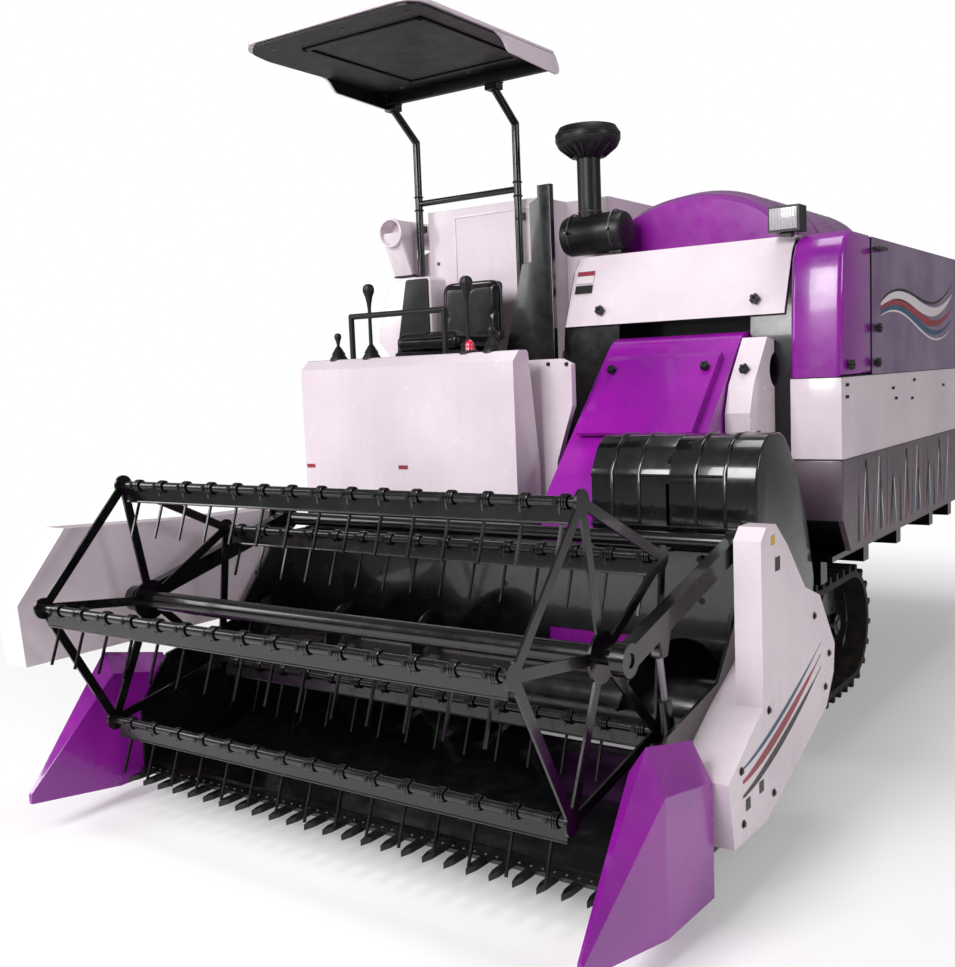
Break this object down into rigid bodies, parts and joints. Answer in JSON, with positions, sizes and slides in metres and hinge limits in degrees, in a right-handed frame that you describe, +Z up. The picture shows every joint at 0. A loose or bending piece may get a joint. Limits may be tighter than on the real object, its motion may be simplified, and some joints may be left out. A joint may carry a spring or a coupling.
{
  "type": "crawler combine harvester",
  "caption": "Combine harvester on rubber tracks with a lifting header, tined reel, auger, feeder house, thresher body, canopy and swinging unloading auger",
  "frame": {"origin": "on the ground, below the centre of the whole machine as it stands", "axes": "+Z up, +X to the machine's left, the machine faces -Y"},
  "size_m": [2.32, 4.7, 2.8],
  "materials": {
    "white_paint": "gloss enamel",
    "purple_paint": "gloss enamel",
    "black_paint": "satin black enamel",
    "grey_panel": "grey-violet enamel with streaks",
    "black_gloss": "glossy moulded black",
    "black_matte": "matt black",
    "track_rubber": "moulded rubber, dusty",
    "bare_steel": "bright steel",
    "cast_block": "painted casting",
    "seat_cover": "black vinyl",
    "lamp": "work lamp"
  },
  "bodies": {
    "chassis": {"track_left": "track_rubber", "track_right": "track_rubber", "undercarriage": "black_paint", "main_frame": "black_paint", "deck": "black_paint", "transmission": "cast_block", "engine": "cast_block", "engine_cover": "white_paint", "thresher_body": "black_paint", "side_panel_low": "grey_panel", "side_panel_mid": "white_paint", "corner_cover": "purple_paint", "hood_front": "white_paint", "drum_cover": "purple_paint", "straw_hood": "purple_paint", "work_lamp": "lamp", "feeder_guard": "white_paint", "grain_tank": "white_paint", "roof_frame": "black_paint", "roof": "white_paint", "platform": "black_paint", "console": "white_paint", "side_plate": "white_paint", "levers": "black_matte", "seat_base": "black_paint", "seat": "seat_cover", "air_cleaner": "black_matte", "unload_column": "white_paint"},
    "side_door": {"side_door": "purple_paint"},
    "unload_turret": {"unload_elbow": "white_paint"},
    "unload_boom": {"unload_tube": "white_paint"},
    "header": {"feeder_house": "purple_paint", "feeder_hatch": "purple_paint", "header_trough": "black_gloss", "cutter_bar": "black_paint", "dividers": "purple_paint", "guard_left": "white_paint", "guard_right": "white_paint", "drive_shield": "black_gloss"},
    "auger": {"header_auger": "black_paint"},
    "reel_lift_arms": {"reel_arms": "black_paint"},
    "reel_frame": {"reel": "black_paint"},
    "tine_bar_1": {"tine_bar_1": "black_paint"},
    "tine_bar_2": {"tine_bar_2": "black_paint"},
    "tine_bar_3": {"tine_bar_3": "black_paint"},
    "tine_bar_4": {"tine_bar_4": "black_paint"},
    "tine_bar_5": {"tine_bar_5": "black_paint"},
    "lift_barrel": {"lift_barrel": "black_paint"},
    "lift_rod": {"lift_rod": "bare_steel"},
    "reel_barrel": {"reel_barrel": "black_paint"},
    "reel_rod": {"reel_rod": "bare_steel"}
  },
  "joints": [
    {"name": "header_lift", "type": "hinge", "parent": "chassis", "child": "header", "pos_m": [0, -0.33413, 1.45], "axis": [-1, 0, 0], "range_deg": [0, 20]},
    {"name": "lift_barrel_swing", "type": "hinge", "parent": "chassis", "child": "lift_barrel", "pos_m": [0.24, 0.03087, 0.43], "axis": [-1, 0, 0], "range_deg": [0, 20]},
    {"name": "lift_rod_slide", "type": "slide", "parent": "lift_barrel", "child": "lift_rod", "axis": [0, -0.939, 0.3439], "range_m": [0, 0.3]},
    {"name": "auger_spin", "type": "hinge", "parent": "header", "child": "auger", "pos_m": [0, -1.23913, 0.4], "axis": [1, 0, 0], "continuous": true},
    {"name": "reel_lift", "type": "hinge", "parent": "header", "child": "reel_lift_arms", "pos_m": [0, -1.14913, 0.925], "axis": [-1, 0, 0], "range_deg": [0, 15]},
    {"name": "reel_barrel_swing", "type": "hinge", "parent": "header", "child": "reel_barrel", "pos_m": [0.96, -1.61913, 0.3], "axis": [-1, 0, 0], "range_deg": [-10, 10]},
    {"name": "reel_rod_slide", "type": "slide", "parent": "reel_barrel", "child": "reel_rod", "axis": [0, -0.1906, 0.9817], "range_m": [0, 0.18]},
    {"name": "reel_spin", "type": "hinge", "parent": "reel_lift_arms", "child": "reel_frame", "pos_m": [0, -1.89913, 0.735], "axis": [1, 0, 0], "continuous": true},
    {"name": "side_door_swing", "type": "hinge", "parent": "chassis", "child": "side_door", "pos_m": [1.05, 1.66087, 1.68], "axis": [0, 0, 1], "range_deg": [0, 100]},
    {"name": "unload_turn", "type": "hinge", "parent": "chassis", "child": "unload_turret", "pos_m": [-1.065, 1.40087, 2.03], "axis": [0, 0, -1], "range_deg": [0, 180]},
    {"name": "unload_lift", "type": "hinge", "parent": "unload_turret", "child": "unload_boom", "pos_m": [-1.065, 1.31387, 2.242], "axis": [-1, 0, 0], "range_deg": [0, 40]},
    {"name": "tine_bar_1_turn", "type": "hinge", "parent": "reel_frame", "child": "tine_bar_1", "pos_m": [0, -1.53179, 0.93862], "axis": [1, 0, 0], "continuous": true},
    {"name": "tine_bar_2_turn", "type": "hinge", "parent": "reel_frame", "child": "tine_bar_2", "pos_m": [0, -1.97927, 1.14728], "axis": [1, 0, 0], "continuous": true},
    {"name": "tine_bar_3_turn", "type": "hinge", "parent": "reel_frame", "child": "tine_bar_3", "pos_m": [0, -2.316, 0.78619], "axis": [1, 0, 0], "continuous": true},
    {"name": "tine_bar_4_turn", "type": "hinge", "parent": "reel_frame", "child": "tine_bar_4", "pos_m": [0, -2.07663, 0.35435], "axis": [1, 0, 0], "continuous": true},
    {"name": "tine_bar_5_turn", "type": "hinge", "parent": "reel_frame", "child": "tine_bar_5", "pos_m": [0, -1.59196, 0.44856], "axis": [1, 0, 0], "continuous": true}
  ],
  "couplings": [
    {"joint": "lift_barrel_swing", "follows": "header_lift", "ratio": 0.17517},
    {"joint": "lift_rod_slide", "follows": "header_lift", "m_per_rad": 0.81802},
    {"joint": "reel_barrel_swing", "follows": "reel_lift", "ratio": -0.0796},
    {"joint": "reel_rod_slide", "follows": "reel_lift", "m_per_rad": 0.5872},
    {"joint": "tine_bar_1_turn", "follows": "reel_spin", "ratio": -1},
    {"joint": "tine_bar_2_turn", "follows": "reel_spin", "ratio": -1},
    {"joint": "tine_bar_3_turn", "follows": "reel_spin", "ratio": -1},
    {"joint": "tine_bar_4_turn", "follows": "reel_spin", "ratio": -1},
    {"joint": "tine_bar_5_turn", "follows": "reel_spin", "ratio": -1}
  ]
}
